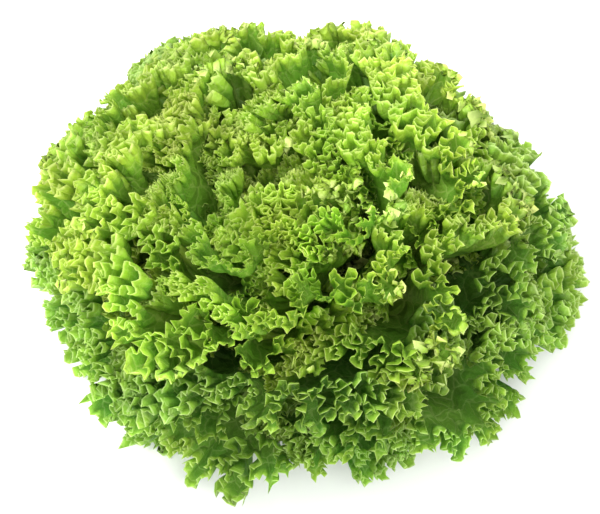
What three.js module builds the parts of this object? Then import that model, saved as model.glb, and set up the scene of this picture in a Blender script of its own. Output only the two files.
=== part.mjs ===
// A cut head of lollo bionda lettuce: a short stem with a flat cut butt, and a spiral of broad, fan-shaped
// leaves around it. Millimetres, +Z up, the origin at the middle of the cut butt, which stands on the table.
//
// Every leaf lies on its own bowl-shaped layer, one inside the next, so the leaves nest without touching.
// The frilled margins are softer than a solid can show, so each leaf here is a plain curved blade of the
// leaf's true place, length and width.

import * as THREE from "three";

const { degToRad, lerp } = THREE.MathUtils;

// How many leaves there are, and how they spiral round the stem, from the outermost to the heart.
const OUTER_LEAVES = 12;
const MIDDLE_LEAVES = 14;
const HEART_LEAVES = 10;
const LEAF_COUNT = OUTER_LEAVES + MIDDLE_LEAVES + HEART_LEAVES;
const FIRST_AZIMUTH = degToRad(197);
const GOLDEN_ANGLE = degToRad(137.508);
const DEPTH_POWER = 1.1; // the outermost leaves are packed a little closer than the inner ones

// The stem, and the range of heights over which the leaves leave it.
const STEM_PROFILE = [
  [14.0, 0],
  [16.0, 4],
  [16.5, 10],
  [15.4, 20],
  [12.2, 32],
  [8.0, 44],
  [4.0, 51],
];
const STEM_TOP = 54;
const STEM_SEGMENTS = 24;
const STEM_GAP = 1.2; // between the stem and the middle of the end of each leaf's rib
const LOWEST_LEAF = 6.5;
const HIGHEST_LEAF = 48;

// What changes from the heart to the outside, at depths 0, 1/4, 1/2, 3/4 and 1.
const LEAF_LENGTH = [26, 86, 122, 132, 124];
const BASE_TILT = [78, 60, 37, 13, -15].map(degToRad); // above the horizontal, where the leaf leaves the stem
const TIP_TILT = [85, 79, 62, 46, 34].map(degToRad); // the same at the leaf's tip
const HALF_SPREAD = [90, 88, 72, 58, 50].map(degToRad); // half the angle that the leaf covers
const BASE_HALF_WIDTH = [3.2, 4.5, 6.0, 7.2, 8.2];

// A leaf's outline is an ellipse that runs from one side of the rib round the tip to the other.
const OUTLINE_MIDDLE = 0.55; // of the leaf's length
const OUTLINE_END = degToRad(150); // how far the margin runs on either side of the tip
const LENGTH_VARIATION = 0.07;
const LENGTH_TURN = 2.4; // radians from one leaf to the next, so that longer and shorter leaves mix

const RIB_THICKNESS = [0.8, 1.5, 2.0, 2.0, 2.0]; // where the leaf leaves the stem, by depth
const BLADE_THICKNESS = [0.7, 1.0, 1.0, 1.0, 1.0]; // just inside the margin, by depth

// The whole head leans to one side and forward, as a cut head does on a table.
const LEAN_X = -0.38;
const LEAN_Y = -0.12;

// Its outline has shallow lobes, where the leaves bunch together, and bulges away from the lean.
const LOBES = 6;
const LOBE_AZIMUTH = degToRad(0); // of the middle of one lobe
const LOBE_HEIGHT = 7;
const BULGE = 9;
const FULL_RADIUS = 140; // where the lobes and the bulge have their full size

// How finely the outer and middle leaves, and then the heart leaves, are divided.
const BROAD_GRID = { across: 14, along: 5 };
const HEART_GRID = { across: 10, along: 4 };

// A value from one of the tables above, at a depth from 0 at the heart to 1 at the outside.
function atDepth(table, depth) {
  const place = THREE.MathUtils.clamp(depth, 0, 1) * (table.length - 1);
  const low = Math.min(Math.floor(place), table.length - 2);
  const t = place - low;
  const before = table[Math.max(low - 1, 0)];
  const after = table[Math.min(low + 2, table.length - 1)];
  const slopeIn = (table[low + 1] - before) / 2;
  const slopeOut = (after - table[low]) / 2;
  const cube = 2 * table[low] - 2 * table[low + 1] + slopeIn + slopeOut;
  const square = 3 * (table[low + 1] - table[low]) - 2 * slopeIn - slopeOut;
  return ((cube * t + square) * t + slopeIn) * t + table[low];
}

function stemRadius(height) {
  const upper = STEM_PROFILE.findIndex(([, z]) => z >= height);
  const [r0, z0] = STEM_PROFILE[upper - 1];
  const [r1, z1] = STEM_PROFILE[upper];
  return lerp(r0, r1, (height - z0) / (z1 - z0));
}

// The leaning head: a point at an azimuth, radius and height of the upright head, moved to where it lies.
function place(azimuth, radius, height) {
  const lobes = LOBE_HEIGHT * Math.cos(LOBES * (azimuth - LOBE_AZIMUTH));
  const shift = (lobes + BULGE * Math.cos(azimuth)) * (radius / FULL_RADIUS) ** 2;
  return new THREE.Vector3(
    (radius + shift) * Math.cos(azimuth) + LEAN_X * height,
    (radius + shift) * Math.sin(azimuth) + LEAN_Y * height,
    height,
  );
}

// The radius and height reached after some length along the arc of a leaf at this depth.
function arcPoint(depth, length) {
  const baseHeight = lerp(HIGHEST_LEAF, LOWEST_LEAF, depth);
  const baseRadius = stemRadius(baseHeight) + STEM_GAP;
  const baseTilt = atDepth(BASE_TILT, depth);
  const bend = (atDepth(TIP_TILT, depth) - baseTilt) / atDepth(LEAF_LENGTH, depth);
  const tilt = baseTilt + bend * length;
  return {
    radius: baseRadius + (Math.sin(tilt) - Math.sin(baseTilt)) / bend,
    height: baseHeight - (Math.cos(tilt) - Math.cos(baseTilt)) / bend,
  };
}

function leafDepth(number) {
  return 1 - (number / (LEAF_COUNT - 1)) ** DEPTH_POWER;
}

// A leaf's middle surface. across runs from -1 to 1 round the margin, and along from 0 at the rib to 1 at the
// margin.
function leafSurface(number) {
  const depth = leafDepth(number);
  const azimuth = FIRST_AZIMUTH + number * GOLDEN_ANGLE;
  const reach = atDepth(LEAF_LENGTH, depth) * (1 + LENGTH_VARIATION * Math.sin(LENGTH_TURN * number));
  const spread = atDepth(HALF_SPREAD, depth);
  const baseSpread = atDepth(BASE_HALF_WIDTH, depth) / arcPoint(depth, 0).radius;
  return (across, along) => {
    const turn = across * OUTLINE_END;
    const marginAngle = spread * Math.sin(turn);
    const marginLength = reach * (OUTLINE_MIDDLE + (1 - OUTLINE_MIDDLE) * Math.cos(turn));
    const { radius, height } = arcPoint(depth, marginLength * along);
    return place(azimuth + lerp(across * baseSpread, marginAngle, along), radius, height);
  };
}

// The closed solid on both sides of a surface, for across from -1 to 1 and along from 0 to 1. It is thickest
// at the rib, and comes to an edge all round the margin.
function bladeGeometry(surface, ribThickness, bladeThickness, { across: columns, along: rows }) {
  const step = 1e-3;
  const points = [];
  const layerSize = (columns + 1) * (rows + 1);
  const isEdge = (i, j) => j === rows || (j > 0 && i % columns === 0);
  for (const side of [1, -1])
    for (let j = 0; j <= rows; j++)
      for (let i = 0; i <= columns; i++) {
        const u = (2 * i) / columns - 1;
        const v = j / rows;
        const middle = surface(u, v);
        const alongAcross = surface(u + step, v).sub(surface(u - step, v));
        const alongLength = surface(u, v + step).sub(surface(u, v - step));
        const normal = alongAcross.cross(alongLength).normalize();
        const thickness = isEdge(i, j) ? 0 : lerp(ribThickness, bladeThickness, Math.sqrt(v));
        points.push(...middle.addScaledVector(normal, (side * thickness) / 2).toArray());
      }

  const index = [];
  const quad = (a, b, c, d) => index.push(a, b, c, a, c, d);
  const front = (i, j) => j * (columns + 1) + i;
  const back = (i, j) => (isEdge(i, j) ? 0 : layerSize) + front(i, j);
  for (let j = 0; j < rows; j++)
    for (let i = 0; i < columns; i++) {
      quad(front(i, j), front(i + 1, j), front(i + 1, j + 1), front(i, j + 1));
      quad(back(i, j), back(i, j + 1), back(i + 1, j + 1), back(i + 1, j));
    }
  for (let i = 0; i < columns; i++) quad(front(i, 0), back(i, 0), back(i + 1, 0), front(i + 1, 0));
  index.push(front(0, 1), back(0, 0), front(0, 0), front(columns, 0), back(columns, 0), front(columns, 1));

  const geometry = new THREE.BufferGeometry();
  geometry.setAttribute("position", new THREE.Float32BufferAttribute(points, 3));
  geometry.setIndex(index);
  geometry.computeVertexNormals();
  return geometry;
}

function stemMesh() {
  const profile = [[0, 0], ...STEM_PROFILE, [0, STEM_TOP]];
  const geometry = new THREE.LatheGeometry(
    profile.map(([r, z]) => new THREE.Vector2(r, z)),
    STEM_SEGMENTS,
  ).rotateX(Math.PI / 2);
  const position = geometry.getAttribute("position");
  for (let n = 0; n < position.count; n++) {
    const height = position.getZ(n);
    position.setX(n, position.getX(n) + LEAN_X * height);
    position.setY(n, position.getY(n) + LEAN_Y * height);
  }
  geometry.computeVertexNormals();
  const mesh = new THREE.Mesh(
    geometry,
    new THREE.MeshStandardMaterial({ color: 0xdfe6b4, roughness: 0.55, metalness: 0 }),
  );
  mesh.name = "stem";
  return mesh;
}

function leafMaterial(color) {
  return new THREE.MeshStandardMaterial({ color, roughness: 0.5, metalness: 0, side: THREE.DoubleSide });
}

function leafMesh(name, number, grid, material) {
  const ribThickness = atDepth(RIB_THICKNESS, leafDepth(number));
  const bladeThickness = atDepth(BLADE_THICKNESS, leafDepth(number));
  const geometry = bladeGeometry(leafSurface(number), ribThickness, bladeThickness, grid);
  const mesh = new THREE.Mesh(geometry, material);
  mesh.name = name;
  return mesh;
}

const head = new THREE.Group();
head.name = "lollo_bionda_head";
head.add(stemMesh());
let leafNumber = 0;
for (const [word, count, grid, color] of [
  ["outer_leaf", OUTER_LEAVES, BROAD_GRID, 0x5f8f2b],
  ["middle_leaf", MIDDLE_LEAVES, BROAD_GRID, 0x7fae35],
  ["heart_leaf", HEART_LEAVES, HEART_GRID, 0xa3cb45],
]) {
  const material = leafMaterial(color);
  for (let n = 1; n <= count; n++) {
    const name = `${word}_${String(n).padStart(2, "0")}`;
    head.add(leafMesh(name, leafNumber, grid, material));
    leafNumber += 1;
  }
}

export default head;
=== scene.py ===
"""Looks for a cut head of lollo bionda lettuce: frilled leaves in place of the CAD blades, and a cut stem."""

import math
from collections import namedtuple

import bpy
import numpy as np
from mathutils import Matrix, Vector


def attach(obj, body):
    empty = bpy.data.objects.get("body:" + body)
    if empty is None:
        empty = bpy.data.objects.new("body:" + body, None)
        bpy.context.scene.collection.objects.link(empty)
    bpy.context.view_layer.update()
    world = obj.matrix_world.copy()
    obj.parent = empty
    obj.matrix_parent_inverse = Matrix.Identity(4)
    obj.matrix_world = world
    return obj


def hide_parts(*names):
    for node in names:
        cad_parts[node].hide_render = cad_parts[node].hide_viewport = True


MM = 0.001

# The layout of the head, in millimetres: the same spiral of nested layers that the CAD blades follow.
OUTER_LEAVES, MIDDLE_LEAVES, HEART_LEAVES = 12, 14, 10
LEAF_COUNT = OUTER_LEAVES + MIDDLE_LEAVES + HEART_LEAVES
FIRST_AZIMUTH = math.radians(197)
GOLDEN_ANGLE = math.radians(137.508)
DEPTH_POWER = 1.1
STEM_PROFILE = [(14.0, 0), (16.0, 4), (16.5, 10), (15.4, 20), (12.2, 32), (8.0, 44), (4.0, 51)]
STEM_TOP, STEM_TIP_RADIUS, STEM_SINK = 54, 0.4, 0.5
STEM_COLUMNS, STEM_ROWS = 160, 60
STEM_GAP = 1.2
LOWEST_LEAF, HIGHEST_LEAF = 6.5, 48
LEAF_LENGTH = [26, 86, 122, 132, 124]
BASE_TILT = np.radians([78, 60, 37, 13, -15])
TIP_TILT = np.radians([85, 79, 62, 46, 34])
HALF_SPREAD = np.radians([90, 88, 72, 58, 50])
BASE_HALF_WIDTH = [3.2, 4.5, 6.0, 7.2, 8.2]
OUTLINE_MIDDLE = 0.55
OUTLINE_END = math.radians(150)
LENGTH_VARIATION = 0.07
LENGTH_TURN = 2.4
LEAN_X, LEAN_Y = -0.38, -0.12
LOBES, LOBE_AZIMUTH, LOBE_HEIGHT = 6, 0.0, 7
BULGE = 9
FULL_RADIUS = 140

# How far the visible leaf reaches, as a share of the CAD blade's length, by depth. Its folds swing past that.
REACH_SHARE = [0.6, 0.93, 0.95, 0.96, 0.98]
# The outer leaves are longer towards one side of the head, and as much shorter on the other.
LONG_SIDE, LONG_SHARE = math.radians(205), 0.12
LONG_FROM = 0.6  # the depth that this starts at
# Leaves nearer the heart than this depth are shorter, and leave a hollow; they are darkened with painted
# shade of that hollow.
HEART_HOLLOW = 0.16
# HEART_CUT shortens the heart leaves; HEART_SHADE darkens them with painted shade of the hollow.
HEART_CUT, HEART_SHADE = 0.4, 2.0
FLOOR_GAP = 0.4
RIB_WIDTH, RIB_HEIGHT = 4.5, 2.4
# How far the margin rolls out of the head, by depth, and how wide that roll is.
ROLL, ROLL_BAND = [2, 4, 4, 3, 0], 16
TAPER_START = 0.78  # the folds die out from here to the foot of the leaf, on either side

# The folds of a leaf's margin, from broad waves to the finest frill. wave is a fold's length, and height a
# share of that. band is how far in from the margin it dies out, loop how far it leans over its neighbours,
# and tooth how far its tips stick out. Lists are for depths 0, 1/4, 1/2, 3/4 and 1.
Fold = namedtuple("Fold", "wave height band loop tooth")
FOLDS = [
    Fold([50, 62, 74, 84, 88], 0.135, [44, 70, 90, 90, 90], 0.15, [0, 0, 0, 0, 0]),
    Fold([14, 17, 20, 23, 27], 0.4, [22, 28, 34, 40, 46], 0.36, [0, 0, 0, 0, 0]),
    Fold([5.6, 6.4, 7.4, 8.8, 11.0], 0.36, [18, 24, 28, 30, 28], 0.34, [0.7, 1.0, 1.2, 1.4, 1.4]),
    Fold([2.6, 2.9, 3.3, 4.0, 5.0], 0.33, [7, 8, 9, 10, 11], 0.28, [1.9, 2.2, 2.5, 2.7, 2.7]),
]
# How much the folds vary in length, in height, and in height between calm and rough stretches, and over how
# many waves each of those changes.
WAVE_VARIATION, WAVE_STRETCH = 0.48, 1.9
HEIGHT_VARIATION, HEIGHT_STRETCH = 0.6, 1.7
CALM_VARIATION, CALM_STRETCH = 0.4, 6
TOOTH_VARIATION, TOOTH_STRETCH = 0.5, 0.8
HIGHEST_FOLD = 1.4  # no fold is higher than this many times its usual height
FIRST_SEED = 1000
NET_WANDER = 4 * MM  # how far the net of veins strays from straight lines

# How far in from the margin each row of a leaf's points is, and which of its columns it keeps.
ROWS = [
    (0, 1), (1.0, 1), (2.3, 1), (4.0, 2), (6.2, 2), (8.8, 2), (12, 4), (15.5, 4), (19.5, 4), (24, 4),
    (29, 8), (35, 8), (42, 16), (50, 16), (60, 16), (72, 32), (86, 32), (102, 32), (124, 32),
]
COARSEST = 32
HEART_COLUMNS, OUTER_COLUMNS = 1440, 2720

# The view and the stage, in metres and degrees.
CAMERA_TARGET = (-0.0165, -0.0225, 0.045)
CAMERA_AZIMUTH, CAMERA_ELEVATION, CAMERA_DISTANCE, CAMERA_LENS = 0, 58, 1.0, 113
FLOOR_SIZE, FLOOR_DROP = 6, 0.0005
WORLD_STRENGTH = 1.2

# What each kind of leaf is called, how many there are, and its colours.
LeafKind = namedtuple("LeafKind", "slot count blade frilled edge rib")
LEAF_KINDS = [
    LeafKind(
        "outer_leaf",
        OUTER_LEAVES,
        blade=(0.11, 0.275, 0.03),
        frilled=(0.28, 0.49, 0.05),
        edge=(0.58, 0.76, 0.26),
        rib=(0.32, 0.48, 0.13),
    ),
    LeafKind(
        "middle_leaf",
        MIDDLE_LEAVES,
        blade=(0.19, 0.40, 0.034),
        frilled=(0.42, 0.64, 0.055),
        edge=(0.74, 0.87, 0.26),
        rib=(0.40, 0.56, 0.15),
    ),
    LeafKind(
        "heart_leaf",
        HEART_LEAVES,
        blade=(0.21, 0.42, 0.033),
        frilled=(0.465, 0.68, 0.07),
        edge=(0.75, 0.88, 0.27),
        rib=(0.42, 0.58, 0.17),
    ),
]


def at_depth(table, depth):
    """A value from a table for depths 0, 1/4, 1/2, 3/4 and 1, on a smooth curve through its entries."""
    place = min(max(depth, 0.0), 1.0) * (len(table) - 1)
    low = min(int(place), len(table) - 2)
    t = place - low
    before, after = table[max(low - 1, 0)], table[min(low + 2, len(table) - 1)]
    slope_in, slope_out = (table[low + 1] - before) / 2, (after - table[low]) / 2
    cube = 2 * table[low] - 2 * table[low + 1] + slope_in + slope_out
    square = 3 * (table[low + 1] - table[low]) - 2 * slope_in - slope_out
    return ((cube * t + square) * t + slope_in) * t + table[low]


def stem_radius(height):
    radii, heights = zip(*STEM_PROFILE, strict=True)
    return float(np.interp(height, heights, radii))


def arc_point(depth, length):
    """Radius and height reached after some length along the arc of a leaf at this depth."""
    base_height = HIGHEST_LEAF + (LOWEST_LEAF - HIGHEST_LEAF) * depth
    base_radius = stem_radius(base_height) + STEM_GAP
    base_tilt = at_depth(BASE_TILT, depth)
    bend = (at_depth(TIP_TILT, depth) - base_tilt) / at_depth(LEAF_LENGTH, depth)
    tilt = base_tilt + bend * length
    radius = base_radius + (np.sin(tilt) - math.sin(base_tilt)) / bend
    height = base_height - (np.cos(tilt) - math.cos(base_tilt)) / bend
    return radius, height


def place(azimuth, radius, height):
    """Moves points at an azimuth, radius and height of the upright head to where they lie when it leans."""
    lobes = LOBE_HEIGHT * np.cos(LOBES * (azimuth - LOBE_AZIMUTH))
    radius = radius + (lobes + BULGE * np.cos(azimuth)) * (radius / FULL_RADIUS) ** 2
    return np.stack(
        [
            radius * np.cos(azimuth) + LEAN_X * height,
            radius * np.sin(azimuth) + LEAN_Y * height,
            height + 0 * azimuth,
        ],
        axis=-1,
    )


def smooth(low, high, x):
    t = np.clip((x - low) / (high - low), 0, 1)
    return t * t * (3 - 2 * t)


def wander(rng, x, reach):
    """Smooth noise between about -1 and 1, which changes over a distance of about reach."""
    knots = int(math.ceil((x.max() - x.min()) / reach)) + 4
    values = rng.uniform(-1, 1, knots)
    place = (x - x.min()) / reach
    low = place.astype(int)
    t = place - low
    t = t * t * (3 - 2 * t)
    return values[low] * (1 - t) + values[low + 1] * t


def leaf_base(number, columns, distances):
    """A grid of points on the leaf's middle surface, rows from the margin to the rib.

    Each point comes with its distance in from the margin and its place across and along the leaf.
    """
    depth = 1 - (number / (LEAF_COUNT - 1)) ** DEPTH_POWER
    azimuth = FIRST_AZIMUTH + number * GOLDEN_ANGLE
    reach = at_depth(REACH_SHARE, depth) * at_depth(LEAF_LENGTH, depth)
    reach = reach * (1 + LENGTH_VARIATION * math.sin(LENGTH_TURN * number))
    reach *= HEART_CUT + (1 - HEART_CUT) * float(smooth(0, HEART_HOLLOW, depth))
    facing = math.cos(azimuth - LONG_SIDE)
    reach *= 1 + LONG_SHARE * facing * abs(facing) * float(smooth(LONG_FROM, 1, depth))
    spread = at_depth(HALF_SPREAD, depth)
    base_spread = at_depth(BASE_HALF_WIDTH, depth) / arc_point(depth, 0)[0]
    across = np.linspace(-1, 1, columns + 1)[None, :]
    along = 1 - np.array(distances)[:, None] / max(distances)
    turn = across * OUTLINE_END
    margin_angle = spread * np.sin(turn)
    margin_length = reach * (OUTLINE_MIDDLE + (1 - OUTLINE_MIDDLE) * np.cos(turn))
    radius, height = arc_point(depth, margin_length * along)
    angle = azimuth + across * base_spread * (1 - along) + margin_angle * along
    points = place(angle, radius, height)
    inward = (1 - along) * margin_length
    return points, inward, across + 0 * along, along + 0 * across, depth


def frames(points):
    """Unit vectors on a grid of points: along the margin, out of the surface, and outward in the surface."""
    tangent = np.gradient(points, axis=1)
    tangent /= np.maximum(np.linalg.norm(tangent, axis=-1, keepdims=True), 1e-9)
    outward = -np.gradient(points, axis=0)
    normal = np.cross(tangent, outward)
    normal /= np.maximum(np.linalg.norm(normal, axis=-1, keepdims=True), 1e-9)
    outward = np.cross(normal, tangent)
    return tangent, normal, outward


def running_length(points):
    """How far along the margin each column is."""
    steps = np.linalg.norm(np.diff(points[0], axis=0), axis=-1)
    return np.concatenate([[0], np.cumsum(steps)])


def frill(points, inward, taper, rng, fold, depth):
    """Folds a leaf's margin to and fro, in waves that die out in from the margin and end in teeth."""
    wave, band, tooth = (at_depth(table, depth) for table in (fold.wave, fold.band, fold.tooth))
    tangent, normal, outward = frames(points)
    run = running_length(points)
    stretch = 1 + WAVE_VARIATION * wander(rng, run, wave * WAVE_STRETCH)
    start = rng.uniform(0, 2 * math.pi)
    phase = start + np.concatenate([[0], np.cumsum(np.diff(run) / stretch[1:])]) * (2 * math.pi / wave)
    vary = 1 + HEIGHT_VARIATION * wander(rng, run, wave * HEIGHT_STRETCH)
    vary = vary * (1 + CALM_VARIATION * wander(rng, run, wave * CALM_STRETCH))
    size = wave * fold.height * taper * np.clip(vary, 0, HIGHEST_FOLD)
    fade = (1 - smooth(0, 1, inward / band)) * np.clip(1 - inward / band, 0, 1) ** 0.3
    side = fade * size
    moved = points + (side * np.cos(phase))[..., None] * normal
    moved += (side * fade * fold.loop * np.sin(2 * phase))[..., None] * tangent
    if tooth:
        point = np.abs(np.cos(phase)) ** 3
        point = point * (1 + TOOTH_VARIATION * wander(rng, run, wave * TOOTH_STRETCH))
        moved += (fade * tooth * taper * point)[..., None] * outward
    return moved


def leaf_points(number, columns):
    """The points of one frilled leaf, and what its material needs to know at each of them."""
    rng = np.random.default_rng(FIRST_SEED + number)
    distances = [distance for distance, _ in ROWS]
    points, inward, across, along, depth = leaf_base(number, columns, distances)
    middle = points[:, columns // 2][:, None, :]
    off_rib = np.linalg.norm(points - middle, axis=-1)
    rib = np.exp(-((off_rib / RIB_WIDTH) ** 2)) * (1 - along) ** 0.7 * min(1, 0.35 + depth)
    points = points - (RIB_HEIGHT * rib)[..., None] * frames(points)[1]
    taper = 1 - smooth(TAPER_START, 1.0, np.abs(across[0]))
    roll = at_depth(ROLL, depth) * (1 - smooth(0, ROLL_BAND, inward)) * taper
    points = points - roll[..., None] * frames(points)[1]
    for fold in FOLDS:
        points = frill(points, inward, taper, rng, fold, depth)
    points[..., 2] = np.maximum(points[..., 2], FLOOR_GAP)
    # Painted shade: the heart leaves are darkened as if in the shade of the hollow; the rest of the tone
    # varies at random per leaf and along its margin.
    shade = HEART_SHADE * (1 - float(smooth(0, HEART_HOLLOW, depth)))
    tone_and_painted_shade = rng.uniform(-0.6, 0.6) + 0.4 * wander(rng, running_length(points), 40) - shade
    return points, {"inward": inward, "rib": rib, "tone_and_painted_shade": tone_and_painted_shade + 0 * inward}


def thinned_faces(columns, steps):
    """Faces of a grid whose rows keep every step-th column: quads, and triangles where the step doubles."""
    keep = [np.arange(0, columns + 1, s) for s in steps]
    starts = np.concatenate([[0], np.cumsum([len(k) for k in keep])])
    quads, triangles = [], []
    for j in range(len(steps) - 1):
        a, b = starts[j], starts[j + 1]
        if steps[j] == steps[j + 1]:
            i = np.arange(len(keep[j]) - 1)
            quads.append(np.stack([a + i, a + i + 1, b + i + 1, b + i], axis=1))
        else:
            i = np.arange(len(keep[j + 1]) - 1)
            triangles.append(np.stack([a + 2 * i, a + 2 * i + 1, b + i], axis=1))
            triangles.append(np.stack([a + 2 * i + 1, b + i + 1, b + i], axis=1))
            triangles.append(np.stack([a + 2 * i + 1, a + 2 * i + 2, b + i + 1], axis=1))
    return keep, np.concatenate(quads), np.concatenate(triangles)


def mesh_object(name, points, quads, triangles, values, chart=None):
    """A smooth mesh from points in millimetres, with values and a place on the chart for each point."""
    mesh = bpy.data.meshes.new(name)
    mesh.vertices.add(len(points))
    mesh.vertices.foreach_set("co", (points * MM).astype(np.float32).ravel())
    corners = np.concatenate([quads.ravel(), triangles.ravel()])
    mesh.loops.add(len(corners))
    mesh.loops.foreach_set("vertex_index", corners.astype(np.int32))
    sizes = np.concatenate([np.full(len(quads), 4), np.full(len(triangles), 3)])
    mesh.polygons.add(len(sizes))
    mesh.polygons.foreach_set("loop_start", (np.cumsum(sizes) - sizes).astype(np.int32))
    mesh.polygons.foreach_set("loop_total", sizes.astype(np.int32))
    mesh.update()
    for key, value in values.items():
        attribute = mesh.attributes.new(key, "FLOAT", "POINT")
        attribute.data.foreach_set("value", value.astype(np.float32))
    if chart is not None:
        mesh.uv_layers.new(name="OFBake").data.foreach_set("uv", chart[corners].astype(np.float32).ravel())
    mesh.shade_smooth()
    thing = bpy.data.objects.new(name, mesh)
    bpy.context.scene.collection.objects.link(thing)
    return thing


def make_leaf(name, number, material):
    share = (number + 1) / LEAF_COUNT
    columns = COARSEST * round((OUTER_COLUMNS + (HEART_COLUMNS - OUTER_COLUMNS) * share**2) / COARSEST)
    points, values = leaf_points(number, columns)
    keep, quads, triangles = thinned_faces(columns, [step for _, step in ROWS])

    def kept(grid):
        return np.concatenate([grid[j][k] for j, k in enumerate(keep)])

    spread = np.concatenate([k / columns for k in keep])
    inset = np.concatenate([np.full(len(k), j / (len(ROWS) - 1)) for j, k in enumerate(keep)])
    leaf = mesh_object(
        name,
        kept(points),
        quads,
        triangles,
        {key: kept(value) for key, value in values.items()},
        np.stack([spread, inset], axis=1),
    )
    leaf.data.materials.append(material)
    return leaf


class Nodes:
    """A material's node tree, with a short way to add nodes, set their inputs and link them."""

    def __init__(self, name):
        self.material = bpy.data.materials.new(name)
        self.material.use_nodes = True
        self.tree = self.material.node_tree
        self.tree.nodes.clear()

    def add(self, kind, inputs=None, **settings):
        node = self.tree.nodes.new("ShaderNode" + kind)
        for key, value in settings.items():
            setattr(node, key, value)
        for key, value in (inputs or {}).items():
            if isinstance(value, bpy.types.NodeSocket):
                self.tree.links.new(value, node.inputs[key])
            else:
                node.inputs[key].default_value = value
        return node

    def attribute(self, name):
        return self.add("Attribute", attribute_name=name).outputs["Fac"]

    def ramp(self, value, low, high, to_low=0.0, to_high=1.0):
        inputs = {"Value": value, "From Min": low, "From Max": high, "To Min": to_low, "To Max": to_high}
        return self.add("MapRange", inputs, interpolation_type="SMOOTHSTEP").outputs["Result"]

    def math(self, operation, a, b=0.0):
        return self.add("Math", {0: a, 1: b}, operation=operation).outputs[0]

    def mix(self, factor, a, b, blend="MIX"):
        node = self.add("Mix", data_type="RGBA", blend_type=blend)
        for key, value in ((0, factor), (6, a), (7, b)):
            if isinstance(value, bpy.types.NodeSocket):
                self.tree.links.new(value, node.inputs[key])
            else:
                node.inputs[key].default_value = (*value, 1) if isinstance(value, tuple) else value
        return node.outputs[2]

    def noise(self, scale, detail=3.0):
        place = self.add("TexCoord").outputs["Object"]
        return self.add("TexNoise", {"Vector": place, "Scale": scale, "Detail": detail}).outputs["Fac"]

    def net(self, scale):
        """Distance from a net of lines, as a share of its cells, which are 1 / scale metres across."""
        place = self.add("TexCoord").outputs["Object"]
        bent = self.add("TexNoise", {"Vector": place, "Scale": scale * 1.5, "Detail": 2.0}).outputs["Color"]
        place = self.mix(NET_WANDER, place, bent, "ADD")
        cells = self.add("TexVoronoi", {"Vector": place, "Scale": scale}, feature="DISTANCE_TO_EDGE")
        return cells.outputs["Distance"]


def leaf_material(kind):
    """A thin, satin, slightly translucent leaf, coloured from the blade out to the frill and its edge, with
    painted shade deep in the blade and on the heart leaves.
    """
    nodes = Nodes(kind.slot)
    inward = nodes.attribute("inward")
    coarse, fine = nodes.net(95), nodes.net(260)
    fine_veins = nodes.math("MULTIPLY", nodes.ramp(fine, 0, 0.07, 1, 0), 0.45)
    veins = nodes.math("ADD", nodes.ramp(coarse, 0, 0.07, 1, 0), fine_veins)
    colour = nodes.mix(nodes.ramp(inward, 0.8, 8), kind.frilled, kind.blade)
    colour = nodes.mix(nodes.math("MULTIPLY", veins, 0.22), colour, kind.edge)
    colour = nodes.mix(nodes.ramp(nodes.attribute("rib"), 0.25, 0.8), colour, kind.rib)
    colour = nodes.mix(nodes.ramp(inward, 0.1, 1.2, 0.9, 0), colour, kind.edge)
    # Darker or lighter by the attribute: random tone per leaf, plus the painted shade of the heart leaves.
    value = nodes.ramp(nodes.attribute("tone_and_painted_shade"), -3, 1, 0.42, 1.16)
    value = nodes.math("MULTIPLY", value, nodes.ramp(nodes.noise(70), 0.3, 0.7, 0.86, 1.12))
    # Painted shade: the blade is darkened deep in from the margin, where the leaves shade each other.
    value = nodes.math("MULTIPLY", value, nodes.ramp(inward, 12, 40, 1, 0.82))
    hue = nodes.ramp(nodes.noise(28), 0.3, 0.7, 0.488, 0.509)
    colour = nodes.add("HueSaturation", {"Hue": hue, "Value": value, "Color": colour}).outputs[0]
    blisters = {"Strength": 0.6, "Distance": 0.0022, "Height": nodes.ramp(coarse, 0, 0.5)}
    height = nodes.math("ADD", nodes.noise(420), nodes.math("MULTIPLY", veins, -0.5))
    grain = {"Strength": 0.35, "Distance": 0.0007, "Height": height}
    grain["Normal"] = nodes.add("Bump", blisters).outputs[0]
    bump = nodes.add("Bump", grain).outputs[0]
    satin = {"Base Color": colour, "Normal": bump, "Roughness": 0.42, "Specular IOR Level": 0.45}
    leaf = nodes.add("BsdfPrincipled", satin)
    through = nodes.add("BsdfTranslucent", {"Color": colour, "Normal": bump})
    both = nodes.add("MixShader", {0: 0.38, 1: leaf.outputs[0], 2: through.outputs[0]})
    nodes.add("OutputMaterial", {"Surface": both.outputs[0]})
    return nodes.material


def stem_material():
    """Pale juicy stem, streaked along its length, with a cut face that has browned."""
    nodes = Nodes("stem")
    place = nodes.add("TexCoord").outputs["Object"]
    height = nodes.add("SeparateXYZ", {0: place}).outputs["Z"]
    streaks = nodes.add("Mapping", {"Vector": place, "Scale": (1, 1, 0.12)}).outputs[0]
    streak = nodes.add("TexNoise", {"Vector": streaks, "Scale": 420.0, "Detail": 4.0}).outputs["Fac"]
    colour = nodes.mix(nodes.ramp(streak, 0.35, 0.65), (0.62, 0.66, 0.30), (0.78, 0.79, 0.50))
    browned = nodes.mix(nodes.ramp(nodes.noise(160), 0.4, 0.65), (0.58, 0.45, 0.22), (0.36, 0.19, 0.08))
    colour = nodes.mix(nodes.ramp(height, 0.0004, 0.0016, 0.85, 0), colour, browned)
    bump = nodes.add("Bump", {"Strength": 0.5, "Distance": 0.0008, "Height": streak}).outputs[0]
    shader = nodes.add("BsdfPrincipled", {"Base Color": colour, "Normal": bump, "Roughness": 0.42})
    nodes.add("OutputMaterial", {"Surface": shader.outputs[0]})
    return nodes.material


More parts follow.
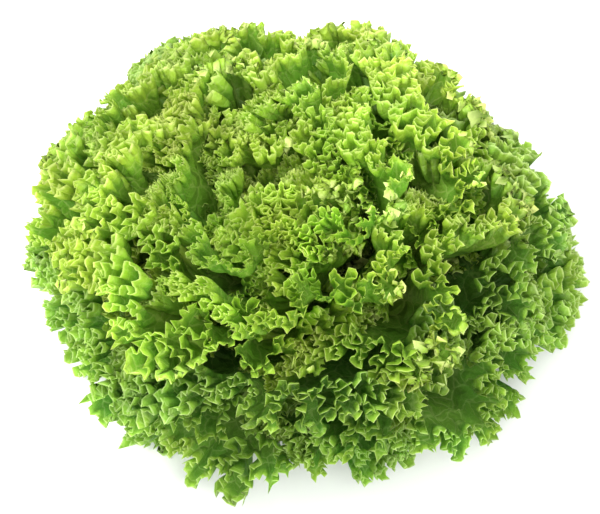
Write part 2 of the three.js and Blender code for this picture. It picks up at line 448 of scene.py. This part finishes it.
def make_stem(name):
    """The stem as a lathed form, ribbed by the leaf bases, with a cut face slightly sunk inside its rim."""
    columns = STEM_COLUMNS
    side = np.linspace(0.5, STEM_TOP - 0.2, STEM_ROWS)
    heights = np.concatenate([[STEM_SINK, STEM_SINK, STEM_SINK, 0.0, 0.0], side])
    radii, levels = zip(*STEM_PROFILE, (STEM_TIP_RADIUS, STEM_TOP), strict=True)
    flare = np.interp(heights, levels, radii)
    rim = flare[4] - 0.3
    flare[:5] = [0.5, 0.55 * rim, 0.9 * rim, 0.94 * rim, rim]  # out over the cut face to its rim
    angle = np.linspace(0, 2 * math.pi, columns, endpoint=False)[None, :]
    rise = heights[:, None]
    ridges = 0.5 * np.cos(8 * angle + 0.21 * rise) + 0.3 * np.cos(13 * angle - 0.34 * rise)
    radius = flare[:, None] - 0.8 * smooth(0, 6, rise) * (1 + ridges) * np.minimum(flare[:, None] / 8, 1)
    points = place(angle, radius, rise + 0 * angle).reshape(-1, 3)
    i = np.arange(columns)
    rows = np.arange(len(heights) - 1)[:, None] * columns
    nearer, further = rows + i, rows + (i + 1) % columns
    quads = np.stack([nearer, further, further + columns, nearer + columns], axis=-1).reshape(-1, 4)
    last = (len(heights) - 1) * columns
    middles = np.array([[0, 0, STEM_SINK], [LEAN_X * STEM_TOP, LEAN_Y * STEM_TOP, STEM_TOP]])
    start = len(points)
    butt = np.stack([(i + 1) % columns, i, np.full(columns, start)], axis=1)
    tip = np.stack([last + i, last + (i + 1) % columns, np.full(columns, start + 1)], axis=1)
    stem = mesh_object(name, np.concatenate([points, middles]), quads, np.concatenate([butt, tip]), {})
    stem.data.materials.append(stem_material())
    return stem


def make_camera(target, azimuth, elevation, distance, lens):
    data = bpy.data.cameras.new("camera")
    camera = bpy.data.objects.new("camera", data)
    bpy.context.scene.collection.objects.link(camera)
    a, e = math.radians(azimuth), math.radians(elevation)
    back = Vector((math.sin(a) * math.cos(e), -math.cos(a) * math.cos(e), math.sin(e)))
    camera.location = Vector(target) + back * distance
    camera.rotation_mode = "QUATERNION"
    camera.rotation_quaternion = (-back).to_track_quat("-Z", "Y")
    data.lens = lens
    bpy.context.scene.camera = camera


def make_lamp(name, location, size, power):
    """A square lamp that faces the foot of the head."""
    data = bpy.data.lights.new(name, "AREA")
    data.size = size
    data.energy = power
    thing = bpy.data.objects.new(name, data)
    thing.location = location
    thing.rotation_mode = "QUATERNION"
    thing.rotation_quaternion = (-Vector(location)).to_track_quat("-Z", "Y")
    bpy.context.scene.collection.objects.link(thing)


def make_stage():
    """A pale floor, a white world and two soft lamps."""
    bpy.ops.mesh.primitive_plane_add(size=FLOOR_SIZE, location=(0, 0, -FLOOR_DROP))
    floor = bpy.context.object
    floor.name = "floor"
    material = bpy.data.materials.new("floor")
    material.use_nodes = True
    shader = material.node_tree.nodes["Principled BSDF"]
    shader.inputs["Base Color"].default_value = (0.9, 0.9, 0.9, 1)
    shader.inputs["Roughness"].default_value = 0.8
    floor.data.materials.append(material)
    world = bpy.data.worlds.new("world")
    world.use_nodes = True
    world.node_tree.nodes["Background"].inputs["Color"].default_value = (1, 1, 1, 1)
    world.node_tree.nodes["Background"].inputs["Strength"].default_value = WORLD_STRENGTH
    bpy.context.scene.world = world
    make_lamp("key", (-0.62, 0.08, 1.1), size=0.5, power=17)
    make_lamp("fill", (0.15, -1.0, 1.0), size=1.2, power=15)


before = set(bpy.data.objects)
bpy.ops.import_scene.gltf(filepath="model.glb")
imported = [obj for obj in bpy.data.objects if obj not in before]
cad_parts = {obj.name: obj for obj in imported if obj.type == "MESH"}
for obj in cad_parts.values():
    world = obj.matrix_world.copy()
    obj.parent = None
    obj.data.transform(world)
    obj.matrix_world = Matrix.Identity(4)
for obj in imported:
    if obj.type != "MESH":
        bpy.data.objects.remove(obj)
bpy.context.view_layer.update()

make_camera(CAMERA_TARGET, CAMERA_AZIMUTH, CAMERA_ELEVATION, CAMERA_DISTANCE, CAMERA_LENS)
bpy.context.scene.view_settings.view_transform = "Standard"

number = 0
for kind in LEAF_KINDS:
    material = leaf_material(kind)
    for n in range(1, kind.count + 1):
        node = f"{kind.slot}_{n:02d}"
        leaf = make_leaf(f"frilled_{node}", number, material)
        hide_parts(node)
        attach(leaf, "root")
        number += 1

stem = make_stem("cut_stem")
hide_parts("stem")
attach(stem, "root")

make_stage()
